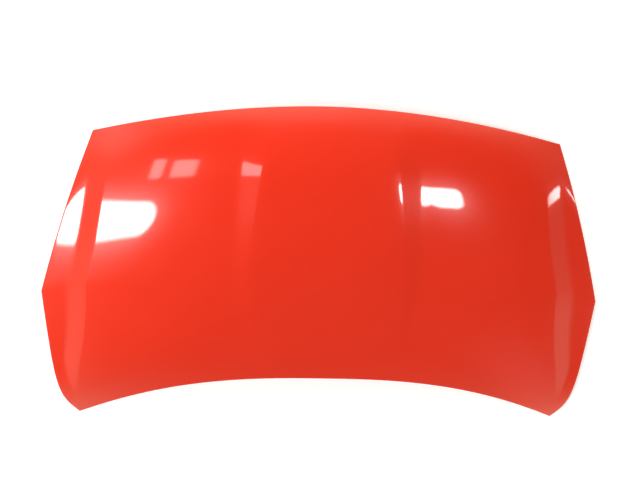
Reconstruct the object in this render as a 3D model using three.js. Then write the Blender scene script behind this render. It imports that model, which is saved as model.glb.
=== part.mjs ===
// Bonnet of a small hatchback, lying as it rests on a floor with its outer side up.
// Millimetres. +X is the bonnet's right, +Y its front edge, +Z up.
// It is a pressed outer skin, hemmed round a pressed inner frame, with the striker, the hinge
// reinforcements, the weld nuts, the rubber buffers and the mastic that the two panels hold.

import * as THREE from 'three';

// Plan of the outer skin, with y = 0 at the widest points of the side edges
const widthMax = 1440;
const widthFront = 1137;
const widthRear = 1302;
const frontCentreY = 493;
const frontCornerY = 412;
const rearCentreY = -211;
const rearCornerY = -356;
const frontEdgeBow = 1.9; // exponent of the arch that the front edge makes
const rearEdgeBow = 2.48;
const sideBow = 5.3; // how far the side edge bows out along the headlamp
const rearTurnInset = 14; // where the side edge turns in towards the rear corner
const rearTurnY = -297;
const rearTurnTightness = 0.95;
const widestStation = 0.55; // share of the length at which the bonnet is widest

// Heights of the outer skin over the plane that its four corners lie in
const frontCrown = 50;
const rearCrown = 64;
const noseDrop = 30; // the skin rolls down by this much just behind the front edge
const noseLength = 49;
const lengthwiseArch = 35;
const sideLift = 12; // rise of the side edge between its two corners
const sideFall = 0.25; // share of the crown that falls away close to the side edges

// Power bulge: a sharp crease each side of the centre, a crest inside it and a flank outside it
const bulgeHalfWidthFront = 180;
const bulgeHalfWidthRear = 209;
const bulgeRise = [0.02, 0.2]; // shares of the length between which it rises and falls
const bulgeFall = [0.5, 0.95];
const crestWidth = 24;
const crestSlope = 0.09; // fall across the crest just before the crease
const flankWidthFront = 74;
const flankWidthRear = 10;
const flankSlope = 0.13;
const flankHollow = 0.15; // how much steeper the flank is at the crease than in its middle
const flankRounding = 0.24; // share of the flank that is rounded at its foot

// Shoulder: a facet that starts in a point near the front corner and runs along the side edge
const shoulderDrop = 8;
const shoulderFront = 97; // distance of the crease from the side edge
const shoulderMiddle = 124;
const shoulderRear = 44;
const shoulderInset = [0.08, 0.45]; // shares of the length between which the crease moves in
const shoulderOutset = [0.52, 0.9]; // and out again
const facetWidth = 56;
const leastFootInset = 30; // the facet's foot comes no nearer to the side edge
const shoulderRise = [0.07, 0.35];
const shoulderFall = [0.6, 0.9];
const valleyRounding = 0.5; // share of the facet that is rounded at its foot

// Sheet metal and the hem that joins the two panels
const skinThickness = 0.8;
const frameThickness = 0.7;
const hemGap = 0.4; // clearance on each side of the frame's flange inside the hem
const hemWidth = 12;
const flangeInset = 1.2; // the frame's edge stays this far inside the skin's edge

// Inner frame
const flangeWidth = 24; // rim that the hem grips, up to the wall of the edge beam
const wallWidth = 12; // plan width of a pressed wall
const beamDepth = 20; // beam floor below the skin
const beamDepthAtSides = 11;
const beamShallowStart = 230; // from the side edge
const beamShallowEnd = 50;
const landGap = 3.2; // space for the mastic between a window's land and the skin
const landWidth = 18;
const frontBeam = 118; // from the front edge to the windows
const rearBeam = 104;
const sideBeam = 118;
const braceFront = 95; // where a diagonal brace meets the front beam, from the centre line
const braceRearInset = 290; // where it meets the rear beam, from the side edge
const braceHalfWidth = 60;
const sideRibCentre = 314; // cross ribs from the braces to the side beams, from the front edge
const centreRibCentre = 405; // cross rib between the two braces
const crossRibHalfWidth = 46;
const centreWindowSetback = 40; // the front centre window starts behind the others
const windowRadius = 28;
const windowStep = 62; // longest facet along a window's straight sides
const hingeCornerLength = 130; // chamfer of the rear side window beside the hinge seat
const hingeCornerWidth = 78;
const hingeCornerSetback = 33; // from the window's rear edge
const frontBeamHoleRadius = 14;
const rearBeamHoleRadius = 11;

// Striker, its bolts and its seat in the front beam
const strikerSetback = 80; // from the front edge
const strikerSeatLength = 104;
const strikerSeatWidth = 52;
const seatRecess = 4; // a seat is pressed this much below the beam floor
const seatWall = 8;
const seatCornerRadius = 10;
const plateInset = 4; // a reinforcement plate stays this far inside its seat
const plateCornerRadius = 6;
const strikerPlateLength = 84;
const strikerPlateWidth = 42;
const strikerPlateThickness = 3;
const strikerBoltSpacing = 60;
const strikerRodRadius = 4.5;
const strikerLoopSpan = 28; // between the centres of the two legs
const strikerLoopHeight = 36;
const strikerLoopBend = 9;
const strikerBendSteps = 4;

// Hinge seats at the rear corners
const hingeSeatInset = 86; // from the side edge
const hingeSeatSetback = 124; // from the rear edge
const hingeSeatLength = 94;
const hingeSeatWidth = 48;
const hingeBoltSpacing = 56;
const reinforcementThickness = 2;

// Fasteners and small parts
const threadRadius = 4;
const boltHoleRadius = 4.6;
const nutAcrossFlats = 13;
const nutHeight = 6.5;
const boltHeadHeight = 5.5;
const boltFlangeRadius = 8.5;
const boltFlangeHeight = 1.6;
const seatGap = 0.3; // parts that touch keep this clearance
const bufferHoleRadius = 5;
const bufferBead = 1.2;
const frontBufferX = 468; // from the centre line
const frontBufferSetback = 62;
const frontBufferRadius = 14;
const frontBufferHeight = 22;
const sideBufferInset = 66; // from the side edge
const sideBufferSetback = 345;
const sideBufferRadius = 12;
const sideBufferHeight = 8;
const propHoleRadius = 11;
const propHoleInset = 66;
const propHoleSetback = 250;
const grommetBore = 7.5;
const grommetLip = 3;
const grommetLipHeight = 2;
const grommetLipRounding = 1;
const grommetBarb = 1.5;
const bufferNose = 0.72; // shares of a buffer's radius and height at its rounded foot
const bufferToe = 0.82;
const bufferToeHeight = 0.86;
const bufferWaist = 0.3;
const padRim = 5; // a hole that takes a rubber part lies in a flat this much wider than the part
const sealantWidth = 5;
const sealantHeight = 2;
const masticRadius = 7;
const masticPitch = 230; // spacing of the mastic dabs round a window

const halfWidth = widthMax / 2;
const centreLength = frontCentreY - rearCentreY;
const hemStack = 2 * (skinThickness + hemGap) + frameThickness;

function finish(color, roughness, metalness = 0) {
	return new THREE.MeshStandardMaterial({ color, roughness, metalness });
}

const paint = finish(0xe2200f, 0.12);
const innerPaint = finish(0xb81d10, 0.38);
const sealer = finish(0xa8231a, 0.55);
const primer = finish(0x5b5f60, 0.6, 0.2);
const zinc = finish(0xb9b7a8, 0.35, 1);
const rubber = finish(0x17181a, 0.75);
const nylon = finish(0x202224, 0.5);
const mastic = finish(0x8b8778, 0.85);

const bonnet = new THREE.Group();

function addPart(name, geometry, material, parent = bonnet) {
	const mesh = new THREE.Mesh(geometry, material);
	mesh.name = name;
	parent.add(mesh);
	return mesh;
}

// Outline of the side edge, from the front corner over the widest point to the rear corner
const frontCorner = new THREE.Vector2(widthFront / 2, frontCornerY);
const widestPoint = new THREE.Vector2(halfWidth, 0);
const rearCorner = new THREE.Vector2(widthRear / 2, rearCornerY);
const rearTurn = new THREE.Vector2(halfWidth - rearTurnInset, rearTurnY);
const headlampChord = widestPoint.clone().sub(frontCorner);
const headlampBow = new THREE.Vector2(-headlampChord.y, headlampChord.x).normalize();
const frontSide = new THREE.QuadraticBezierCurve(
	frontCorner,
	frontCorner.clone().lerp(widestPoint, 0.5).addScaledVector(headlampBow, 2 * sideBow),
	widestPoint
);
const rearSide = new THREE.CubicBezierCurve(
	widestPoint,
	widestPoint.clone().lerp(rearTurn, rearTurnTightness),
	rearCorner.clone().lerp(rearTurn, rearTurnTightness),
	rearCorner
);

function sideEdge(v) {
	if (v < widestStation) return frontSide.getPoint(v / widestStation);
	return rearSide.getPoint((v - widestStation) / (1 - widestStation));
}

const fade = THREE.MathUtils.smoothstep;

// The outer face of the skin. u runs from -1 to 1 across, v from 0 at the front to 1 at the rear.
function bulgeLine(v) {
	return THREE.MathUtils.lerp(bulgeHalfWidthFront, bulgeHalfWidthRear, v) / halfWidth;
}

function flankShare(v) {
	return THREE.MathUtils.lerp(flankWidthFront, flankWidthRear, v) / halfWidth;
}

function shoulderCreaseInset(v) {
	const front = THREE.MathUtils.lerp(shoulderFront, shoulderMiddle, fade(v, ...shoulderInset));
	return THREE.MathUtils.lerp(front, shoulderRear, fade(v, ...shoulderOutset));
}

const shoulderLine = (v) => 1 - shoulderCreaseInset(v) / halfWidth;
const footLine = (v) => 1 - Math.max(shoulderCreaseInset(v) - facetWidth, leastFootInset) / halfWidth;

// Lesser of two values, with the corner between them rounded
function roundedMin(a, b, rounding) {
	const blend = THREE.MathUtils.clamp(1 - Math.abs(a - b) / rounding, 0, 1);
	return Math.min(a, b) - blend * blend * rounding / 4;
}

function pressedRelief(u, v) {
	const outward = u - bulgeLine(v);
	const crest = THREE.MathUtils.clamp(1 + outward * halfWidth / crestWidth, 0, 1);
	const flank = roundedMin(Math.max(outward / flankShare(v), 0), 1, flankRounding);
	const crestHeight = crestSlope * crestWidth / 2 * (1 - crest ** 2);
	const flankFall = (1 + flankHollow) * flank - flankHollow * flank ** 2;
	const flankHeight = flankSlope * flankShare(v) * halfWidth * (1 - flankFall);
	const bulge = fade(v, ...bulgeRise) * (1 - fade(v, ...bulgeFall));
	const foot = footLine(v);
	const down = THREE.MathUtils.clamp((u - shoulderLine(v)) / (foot - shoulderLine(v)), 0, 1);
	const up = THREE.MathUtils.clamp((1 - u) / (1 - foot), 0, 1);
	const shoulder = shoulderDrop * fade(v, ...shoulderRise) * (1 - fade(v, ...shoulderFall));
	return bulge * (crestHeight + flankHeight) - shoulder * roundedMin(down, up, valleyRounding);
}

function skinPoint(u, v, pressed = true) {
	const across = Math.abs(u);
	const side = sideEdge(v);
	const centreY = THREE.MathUtils.lerp(frontCentreY, rearCentreY, v);
	const bow = THREE.MathUtils.lerp(frontEdgeBow, rearEdgeBow, v);
	const y = centreY + (side.y - centreY) * across ** bow;
	const nose = noseDrop * (1 - Math.exp(-v * centreLength / noseLength));
	const slope = (rearCrown - frontCrown - noseDrop) * v;
	const spine = frontCrown + nose + slope + 4 * lengthwiseArch * v * (1 - v);
	const rim = sideLift * (1 - Math.abs(2 * v - 1) ** 3);
	const crown = (1 - sideFall) * across ** 2 + sideFall * across ** 6;
	const z = rim + (spine - rim) * (1 - crown) + (pressed ? pressedRelief(across, v) : 0);
	return new THREE.Vector3(u * side.x, y, z);
}

// Normal of the skin without its creases
function skinNormal(u, v) {
	const step = 0.002;
	const left = Math.max(u - step, -1);
	const right = Math.min(u + step, 1);
	const ahead = Math.max(v - step, 0);
	const behind = Math.min(v + step, 1);
	const acrossTangent = skinPoint(right, v, false).sub(skinPoint(left, v, false));
	const forwardTangent = skinPoint(u, ahead, false).sub(skinPoint(u, behind, false));
	return acrossTangent.cross(forwardTangent).normalize();
}

function corner(a, b) {
	return new THREE.Vector2(a, b);
}

// Sheet coordinates: millimetres from the centre line and from the front edge, measured where
// the bonnet is widest and along its centre line
function below(a, b, depth, pressed = true) {
	const u = a / halfWidth;
	const v = b / centreLength;
	return skinPoint(u, v, pressed).addScaledVector(skinNormal(u, v), -depth);
}

// A pressed sheet is an open surface of points and faces, given its thickness at the end
class Sheet {

	constructor() {
		this.points = [];
		this.faces = [];
	}

	// Adds the points of a closed ring. Neighbours at one place share one index.
	ring(points) {
		const indices = [];
		for (const point of points) {
			const ends = [indices[0], indices[indices.length - 1]];
			const shared = ends.find((index) => this.points[index]?.distanceTo(point) < 0.001);
			indices.push(shared ?? this.points.push(point) - 1);
		}
		return indices;
	}

	face(i, j, k) {
		if (i !== j && j !== k && k !== i) this.faces.push([i, j, k]);
	}

	// Split along its shorter diagonal, so that parallel panels are split alike
	quad(i, j, k, l) {
		const [p, q, r, s] = [i, j, k, l].map((index) => this.points[index]);
		const turnedQuad = p.distanceTo(r) > q.distanceTo(s) ? [j, k, l, i] : [i, j, k, l];
		const [first, second, third, fourth] = turnedQuad;
		this.face(first, second, third);
		this.face(first, third, fourth);
	}

	// Joins two closed rings with the same number of points. The first lies outside the second
	// when the face is seen from its outer side and the rings run anticlockwise.
	band(outer, inner) {
		outer.forEach((_, i) => {
			const next = (i + 1) % outer.length;
			this.quad(outer[i], outer[next], inner[next], inner[i]);
		});
	}

	// Fills a flat outline with holes. Each loop has its plan points and its ring of indices.
	fill(outline, holes = []) {
		const plan = [outline, ...holes].flatMap((loop) => loop.plan);
		const indices = [outline, ...holes].flatMap((loop) => loop.ring);
		for (const [i, j, k] of triangulate(outline.plan, holes.map((hole) => hole.plan), plan)) {
			this.face(indices[i], indices[j], indices[k]);
		}
	}

	fan(centre, ring) {
		ring.forEach((from, i) => this.face(centre, from, ring[(i + 1) % ring.length]));
	}

	// Closes the end of a stack of rings that run anticlockwise seen from the far end
	cap(ring, nearEnd) {
		const middle = new THREE.Vector3();
		for (const i of ring) middle.addScaledVector(this.points[i], 1 / ring.length);
		this.fan(this.points.push(middle) - 1, nearEnd ? [...ring].reverse() : ring);
	}

	closed() {
		return new THREE.BufferGeometry().setFromPoints(this.points).setIndex(this.faces.flat());
	}

	// Closed solid whose outer face is this surface, with its thickness on the inner side
	solid(thickness) {
		const outer = new THREE.BufferGeometry().setFromPoints(this.points);
		outer.setIndex(this.faces.flat());
		outer.computeVertexNormals();
		const normal = outer.getAttribute('normal');
		const inner = this.points.map((point, i) => {
			const direction = new THREE.Vector3().fromBufferAttribute(normal, i);
			return point.clone().addScaledVector(direction, -thickness);
		});
		const count = this.points.length;
		const index = this.faces.flat();
		const sides = ([i, j, k]) => [`${i} ${j}`, `${j} ${k}`, `${k} ${i}`];
		const edges = new Set(this.faces.flatMap(sides));
		for (const [i, j, k] of this.faces) {
			index.push(i + count, k + count, j + count);
			for (const [from, to] of [[i, j], [j, k], [k, i]]) {
				if (edges.has(`${to} ${from}`)) continue;
				index.push(to, from, from + count);
				index.push(to, from + count, to + count);
			}
		}
		const geometry = new THREE.BufferGeometry().setFromPoints([...this.points, ...inner]);
		geometry.setIndex(index);
		return geometry;
	}

}

function turn(p, q, r) {
	return (q.x - p.x) * (r.y - p.y) - (q.y - p.y) * (r.x - p.x);
}

// True if s lies inside the circle through p, q and r, which run anticlockwise
function inCircle(p, q, r, s) {
	const rows = [p, q, r].map((t) => [t.x - s.x, t.y - s.y, (t.x - s.x) ** 2 + (t.y - s.y) ** 2]);
	return new THREE.Matrix3().set(...rows.flat()).determinant() > 1e-3;
}

// Triangles of an outline with holes, with the diagonals turned until none is needlessly long
function triangulate(outline, holes, plan) {
	let faces = THREE.ShapeUtils.triangulateShape([...outline], holes.map((hole) => [...hole]));
	const area = faces.reduce((sum, [i, j, k]) => sum + turn(plan[i], plan[j], plan[k]), 0);
	if (area < 0) faces = faces.map(([i, j, k]) => [i, k, j]);
	for (let turned = true; turned;) {
		turned = false;
		const owner = new Map();
		faces.forEach(([i, j, k], f) => {
			owner.set(`${i} ${j}`, [f, k]);
			owner.set(`${j} ${k}`, [f, i]);
			owner.set(`${k} ${i}`, [f, j]);
		});
		const busy = new Set();
		for (const [edge, [f, far]] of owner) {
			const [i, j] = edge.split(' ').map(Number);
			const [g, opposite] = owner.get(`${j} ${i}`) ?? [];
			if (g === undefined || busy.has(f) || busy.has(g)) continue;
			if (!inCircle(plan[i], plan[j], plan[far], plan[opposite])) continue;
			if (turn(plan[i], plan[opposite], plan[far]) <= 0) continue;
			if (turn(plan[opposite], plan[j], plan[far]) <= 0) continue;
			faces[f] = [i, opposite, far];
			faces[g] = [opposite, j, far];
			busy.add(f).add(g);
			turned = true;
		}
	}
	return faces;
}

// Loops round a window with rounded corners, each grown outwards by a share of growths. Points
// with the same number in two loops lie side by side.
function roundedLoops(corners, radius, growths, longestStep, arcSteps = 3) {
	const count = corners.length;
	const normals = corners.map((corner, i) => {
		const edge = corners[(i + 1) % count].clone().sub(corner);
		return new THREE.Vector2(edge.y, -edge.x).normalize();
	});
	const centres = corners.map((corner, i) => {
		const before = normals[(i + count - 1) % count];
		const bisector = before.clone().add(normals[i]).normalize();
		return corner.clone().addScaledVector(bisector, -radius / bisector.dot(normals[i]));
	});
	return growths.map((growth) => centres.flatMap((centre, i) => {
		const before = normals[(i + count - 1) % count].angle();
		let sweep = normals[i].angle() - before;
		if (sweep < 0) sweep += 2 * Math.PI;
		const arc = [];
		for (let s = 0; s <= arcSteps; s++) {
			const angle = before + sweep * s / arcSteps;
			const spoke = new THREE.Vector2(Math.cos(angle), Math.sin(angle));
			arc.push(centre.clone().addScaledVector(spoke, radius + growth));
		}
		const next = centres[(i + 1) % count].clone().addScaledVector(normals[i], radius + growth);
		const steps = Math.ceil(centres[(i + 1) % count].distanceTo(centre) / longestStep);
		for (let s = 1; s < steps; s++) arc.push(arc[arcSteps].clone().lerp(next, s / steps));
		return arc;
	}));
}

function circlePoints(x, y, radius, sides = 12) {
	return Array.from({ length: sides }, (_, i) => {
		const angle = 2 * Math.PI * i / sides;
		return new THREE.Vector2(x + radius * Math.cos(angle), y + radius * Math.sin(angle));
	});
}

// Polygon whose sides touch the hole's circle
function holePoints(x, y, radius, sides = 12) {
	return circlePoints(x, y, radius / Math.cos(Math.PI / sides), sides);
}

// Lines of the skin's loft: rails run from front to rear, stations from side to side
const hemShare = hemWidth / halfWidth;

function railPositions(v) {
	const bulge = bulgeLine(v);
	const flankFoot = bulge + flankShare(v);
	const crest = bulge - crestWidth / halfWidth;
	const half = [0, crest / 2, crest, bulge, (bulge + flankFoot) / 2, flankFoot];
	const crease = shoulderLine(v);
	const foot = footLine(v);
	for (let s = 1; s < 5; s++) half.push(THREE.MathUtils.lerp(flankFoot, crease, s / 5));
	half.push(crease, (crease + foot) / 2, foot, 1 - flangeWidth / halfWidth, 1 - hemShare, 1);
	return [...half.slice(1).reverse().map((u) => -u), ...half];
}

const edgeStations = [0, hemWidth / centreLength, flangeWidth / centreLength];
const stations = [...edgeStations, 0.06, 0.09, 0.13, 0.175, 0.23, 0.3, 0.38, 0.46, widestStation,
	0.64, 0.73, 0.81, 0.87, 0.915, 0.945, ...edgeStations.map((v) => 1 - v).reverse()];
const railCount = railPositions(0).length;
const lastRail = railCount - 1;
const lastStation = stations.length - 1;

// Grid places round the rim, anticlockwise from the rear left corner
const rimPlaces = [];
for (let i = 0; i < lastRail; i++) rimPlaces.push([i, lastStation]);
for (let j = lastStation; j > 0; j--) rimPlaces.push([lastRail, j]);
for (let i = lastRail; i > 0; i--) rimPlaces.push([i, 0]);
for (let j = 0; j < lastStation; j++) rimPlaces.push([0, j]);

function makeOuterSkin() {
	const sheet = new Sheet();
	const grid = stations.map((v) => sheet.ring(railPositions(v).map((u) => skinPoint(u, v))));
	for (let j = 0; j < lastStation; j++) {
		for (let i = 0; i < lastRail; i++) {
			sheet.quad(grid[j + 1][i], grid[j + 1][i + 1], grid[j][i + 1], grid[j][i]);
		}
	}

	// The hem: a half-round fold at the edge, and the flange that it turns back under the frame
	const hemInner = ([i, j]) => {
		return [THREE.MathUtils.clamp(i, 1, lastRail - 1), THREE.MathUtils.clamp(j, 1, lastStation - 1)];
	};
	const rimNormal = ([i, j]) => skinNormal(railPositions(stations[j])[i], stations[j]);
	const pointAt = ([i, j]) => sheet.points[grid[j][i]];
	const foldRadius = hemStack / 2;
	let previous = rimPlaces.map(([i, j]) => grid[j][i]);
	for (const angle of [Math.PI / 3, 2 * Math.PI / 3, Math.PI]) {
		const ring = sheet.ring(rimPlaces.map((place) => {
			const outward = pointAt(place).clone().sub(pointAt(hemInner(place))).normalize();
			return pointAt(place).clone()
				.addScaledVector(outward, foldRadius * Math.sin(angle))
				.addScaledVector(rimNormal(place), foldRadius * (Math.cos(angle) - 1));
		}));
		sheet.band(ring, previous);
		previous = ring;
	}
	const flangeRing = sheet.ring(rimPlaces.map((place) => {
		const inner = hemInner(place);
		return pointAt(inner).clone().addScaledVector(rimNormal(inner), -hemStack);
	}));
	sheet.band(flangeRing, previous);
	return sheet.solid(skinThickness);
}

// Loop in sheet coordinates, inset from the skin's edge. Its corners are rounded about a point
// cornerInset from both edges, so that loops with one cornerInset stay side by side.
const beamCornerInset = 60;
const sealantCornerInset = 26;

function insetPoint(a, b, inset) {
	return new THREE.Vector2(
		THREE.MathUtils.clamp(a, inset - halfWidth, halfWidth - inset),
		THREE.MathUtils.clamp(b, inset, centreLength - inset)
	);
}

function rimLoop(inset, cornerInset = 0) {
	return rimPlaces.map(([i, j]) => {
		const a = railPositions(stations[j])[i] * halfWidth;
		const b = stations[j] * centreLength;
		const centre = insetPoint(a, b, cornerInset);
		const spoke = corner(a, b).sub(centre);
		if (spoke.x === 0 || spoke.y === 0) return insetPoint(a, b, inset);
		return centre.addScaledVector(spoke.normalize(), cornerInset - inset);
	});
}

// Sheet coordinates run from the front edge backwards, so a loop that is anticlockwise there is
// clockwise seen from above, which is the way the frame's underside faces.
function floorDepth(a) {
	const side = fade(Math.abs(a), halfWidth - beamShallowStart, halfWidth - beamShallowEnd);
	return THREE.MathUtils.lerp(beamDepth, beamDepthAtSides, side) + frameThickness;
}

const flangePoint = ({ x, y }) => below(x, y, skinThickness + hemGap + frameThickness);
const landPoint = ({ x, y }) => below(x, y, skinThickness + landGap + frameThickness);
const floorPoint = ({ x, y }) => below(x, y, floorDepth(x), false);

// Windows between the beams, as corners in sheet coordinates, anticlockwise from the front left
const windowFront = frontBeam;
const windowRear = centreLength - rearBeam;
const windowSide = halfWidth - sideBeam;

function braceAt(b) {
	const braceRear = halfWidth - braceRearInset;
	return THREE.MathUtils.mapLinear(b, windowFront, windowRear, braceFront, braceRear);
}

function mirrored(corners) {
	return corners.map((point) => corner(-point.x, point.y)).reverse();
}

const insideBrace = (b) => corner(braceAt(b) - braceHalfWidth, b);
const outsideBrace = (b) => corner(braceAt(b) + braceHalfWidth, b);

function betweenBraces(front, rear) {
	const right = [insideBrace(front), insideBrace(rear)];
	return [...right, ...mirrored(right)];
}

const sideRibFront = sideRibCentre - crossRibHalfWidth;
const sideRibRear = sideRibCentre + crossRibHalfWidth;
const cutRear = windowRear - hingeCornerSetback;
const cutFront = cutRear - hingeCornerLength;
const frontWindow = [
	outsideBrace(windowFront),
	corner(windowSide, windowFront),
	corner(windowSide, sideRibFront),
	outsideBrace(sideRibFront),
];
const rearWindow = [
	outsideBrace(sideRibRear),
	corner(windowSide, sideRibRear),
	corner(windowSide, cutFront),
	corner(windowSide - hingeCornerWidth, cutRear),
	outsideBrace(cutRear),
];
const windows = [
	betweenBraces(windowFront + centreWindowSetback, centreRibCentre - crossRibHalfWidth),
	betweenBraces(centreRibCentre + crossRibHalfWidth, windowRear),
	frontWindow,
	mirrored(frontWindow),
	rearWindow,
	mirrored(rearWindow),
];

// Frame on the floor's underside with +Z towards the skin and +Y towards the front edge
function frameAt({ x, y }, depth) {
	const up = skinNormal(x / halfWidth, y / centreLength);
	const ahead = below(x, y - 1, 0, false).sub(below(x, y + 1, 0, false));
	const right = ahead.cross(up).normalize();
	const matrix = new THREE.Matrix4().makeBasis(right, up.clone().cross(right), up);
	return matrix.setPosition(below(x, y, depth, false));
}

function groupAt(matrix) {
	const group = new THREE.Group();
	group.applyMatrix4(matrix);
	bonnet.add(group);
	return group;
}

// A flat in the beam floor, with a plane of its own for the parts that seat on it
class Flat {

	constructor(place, depth) {
		this.place = place;
		this.matrix = frameAt(place, depth);
		const inverse = this.matrix.clone().invert();
		const [centre, right, behind] = [[0, 0], [1, 0], [0, 1]].map(([a, b]) => {
			return below(place.x + a, place.y + b, depth, false).applyMatrix4(inverse);
		});
		this.stretch = [right.sub(centre), behind.sub(centre)];
	}

	inSpace({ x, y }) {
		return new THREE.Vector3(x, y, 0).applyMatrix4(this.matrix);
	}

	toSheet({ x, y }) {
		const [right, behind] = this.stretch;
		const area = right.x * behind.y - right.y * behind.x;
		return corner(
			this.place.x + (x * behind.y - y * behind.x) / area,
			this.place.y + (right.x * y - right.y * x) / area
		);
	}

	// Loops of the plane run anticlockwise seen from above, and those of the sheet the other way
	ring(sheet, plan) {
		return sheet.ring([...plan].reverse().map((point) => this.inSpace(point)));
	}

}

// Bolted seat, pressed a little below the beam floor
class Seat extends Flat {

	constructor(place, length, width, bolts) {
		super(place, floorDepth(place.x) + seatRecess);
		this.length = length;
		this.width = width;
		this.bolts = bolts;
		const x = length / 2;
		const y = width / 2;
		const corners = [corner(-x, -y), corner(x, -y), corner(x, y), corner(-x, y)];
		[this.foot, this.top] = roundedLoops(corners, seatCornerRadius, [0, seatWall], length + width);
	}

	press(sheet) {
		const topPlan = [...this.top].reverse().map((point) => this.toSheet(point));
		const topRing = sheet.ring(topPlan.map(floorPoint));
		const footRing = this.ring(sheet, this.foot);
		sheet.band(topRing, footRing);
		const holes = this.bolts.map(([x, y]) => {
			const plan = holePoints(x, y, boltHoleRadius);
			return { plan: [...plan].reverse(), ring: this.ring(sheet, plan) };
		});
		const first = sheet.faces.length;
		sheet.fill({ plan: [...this.foot].reverse(), ring: footRing }, holes);
		for (const face of sheet.faces.slice(first)) face.reverse();
		return { plan: topPlan, ring: topRing };
	}

}

// Flat round a hole that takes a rubber part
class Pad extends Flat {

	constructor(place, holeRadius, radius) {
		super(place, floorDepth(place.x));
		this.holeRadius = holeRadius;
		this.radius = radius;
	}

	press(sheet) {
		const rim = circlePoints(0, 0, this.radius, 16);
		const rimRing = this.ring(sheet, rim);
		sheet.band(rimRing, this.ring(sheet, holePoints(0, 0, this.holeRadius, 16)));
		return { plan: [...rim].reverse().map((point) => this.toSheet(point)), ring: rimRing };
	}

}

const strikerBolts = [[-strikerBoltSpacing / 2, 0], [strikerBoltSpacing / 2, 0]];
const hingeBolts = [[0, -hingeBoltSpacing / 2], [0, hingeBoltSpacing / 2]];
const strikerPlace = corner(0, strikerSetback);
const strikerSeat = new Seat(strikerPlace, strikerSeatLength, strikerSeatWidth, strikerBolts);
const seats = [strikerSeat];
const pads = [];
const hingeSeats = {};
const frontBuffers = {};
const sideBuffers = {};
const propPads = {};
for (const [name, side] of [['left', -1], ['right', 1]]) {
	const hinge = corner(side * (halfWidth - hingeSeatInset), centreLength - hingeSeatSetback);
	hingeSeats[name] = new Seat(hinge, hingeSeatWidth, hingeSeatLength, hingeBolts);
	const front = corner(side * frontBufferX, frontBufferSetback);
	frontBuffers[name] = new Pad(front, bufferHoleRadius, frontBufferRadius + padRim);
	const edge = corner(side * (halfWidth - sideBufferInset), sideBufferSetback);
	sideBuffers[name] = new Pad(edge, bufferHoleRadius, sideBufferRadius + padRim);
	const prop = corner(side * (halfWidth - propHoleInset), propHoleSetback);
	propPads[name] = new Pad(prop, propHoleRadius, propHoleRadius + grommetLip + padRim);
	seats.push(hingeSeats[name]);
	pads.push(frontBuffers[name], sideBuffers[name], propPads[name]);
}

// Round holes that lighten and drain the front and rear beams
const frontBeamMiddle = (frontBeam + flangeWidth - landWidth) / 2;
const rearBeamMiddle = centreLength - (rearBeam + flangeWidth - landWidth) / 2;
const beamHoles = [];
for (const side of [-1, 1]) {
	for (const a of [200, 295, 390]) {
		beamHoles.push(circlePoints(side * a, frontBeamMiddle, frontBeamHoleRadius, 10));
	}
	for (const a of [110, 220, 330, 440]) {
		beamHoles.push(circlePoints(side * a, rearBeamMiddle, rearBeamHoleRadius, 10));
	}
}

const windowLoops = windows.map((corners) => {
	const growths = [0, landWidth, landWidth + wallWidth, landWidth / 2];
	return roundedLoops(corners, windowRadius, growths, windowStep);
});

function makeInnerFrame() {
	const sheet = new Sheet();
	const edge = sheet.ring(rimLoop(flangeInset).map(flangePoint));
	const hemLine = sheet.ring(rimLoop(hemWidth).map(flangePoint));
	const wallTop = sheet.ring(rimLoop(flangeWidth, beamCornerInset).map(flangePoint));
	const floorPlan = rimLoop(flangeWidth + wallWidth, beamCornerInset);
	const floorEdge = sheet.ring(floorPlan.map(floorPoint));
	sheet.band(floorEdge, wallTop);
	sheet.band(wallTop, hemLine);
	sheet.band(hemLine, edge);
	const openings = beamHoles.map((plan) => ({ plan, ring: sheet.ring(plan.map(floorPoint)) }));
	for (const [cut, land, foot] of windowLoops) {
		const cutRing = sheet.ring(cut.map(landPoint));
		const landRing = sheet.ring(land.map(landPoint));
		const footRing = sheet.ring(foot.map(floorPoint));
		sheet.band(landRing, cutRing);
		sheet.band(footRing, landRing);
		openings.push({ plan: foot, ring: footRing });
	}
	for (const flat of [...seats, ...pads]) openings.push(flat.press(sheet));
	sheet.fill({ plan: floorPlan, ring: floorEdge }, openings);
	return sheet.solid(frameThickness);
}

// Bead that covers the cut edge of the hem
function makeHemSealant() {
	const sheet = new Sheet();
	const seat = skinThickness + hemGap + frameThickness + seatGap;
	const start = hemWidth + seatGap;
	const profile = [
		[start, seat],
		[start, seat + sealantHeight],
		[start + sealantWidth / 2, seat + sealantHeight],
		[start + sealantWidth, seat],
	];
	const rings = profile.map(([inset, depth]) => {
		return sheet.ring(rimLoop(inset, sealantCornerInset).map(({ x, y }) => below(x, y, depth)));
	});
	rings.forEach((ring, i) => sheet.band(rings[(i + 1) % rings.length], ring));
	return sheet.closed();
}

// Plates, fasteners and rubber parts, each with z = 0 where it seats
function roundedRectangle(length, width, radius) {
	const shape = new THREE.Shape();
	const x = length / 2 - radius;
	const y = width / 2 - radius;
	shape.absarc(x, -y, radius, -Math.PI / 2, 0);
	shape.absarc(x, y, radius, 0, Math.PI / 2);
	shape.absarc(-x, y, radius, Math.PI / 2, Math.PI);
	shape.absarc(-x, -y, radius, Math.PI, 1.5 * Math.PI);
	return shape;
}

function plate(length, width, thickness, holes) {
	const shape = roundedRectangle(length, width, plateCornerRadius);
	for (const [x, y, radius] of holes) shape.holes.push(new THREE.Path(holePoints(x, y, radius)));
	return new THREE.ExtrudeGeometry(shape, { depth: thickness, bevelEnabled: false, curveSegments: 3 });
}

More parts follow.
